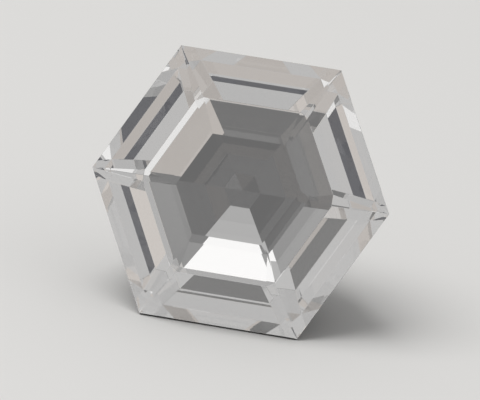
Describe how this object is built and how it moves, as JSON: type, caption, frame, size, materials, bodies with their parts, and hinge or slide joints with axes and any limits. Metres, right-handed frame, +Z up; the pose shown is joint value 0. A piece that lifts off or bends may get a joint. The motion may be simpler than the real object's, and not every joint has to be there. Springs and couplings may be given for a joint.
{
  "type": "step-cut sapphire gemstone",
  "caption": "Loose near-colourless sapphire in a hexagonal step cut, lying on its side on a pavilion facet with the table facing forward.",
  "frame": {"origin": "on the resting surface, under the middle of the stone's bounding box", "axes": "+Z up; the table faces -Y and a little up; +X to the right as seen from the table"},
  "size_m": [0.009, 0.0058, 0.0077],
  "materials": {
    "sapphire": "clear polished corundum, IOR 1.77, very faint warm tint, mirror-smooth facets"
  },
  "bodies": {
    "root": {"sapphire_stone": "sapphire"}
  },
  "joints": []
}
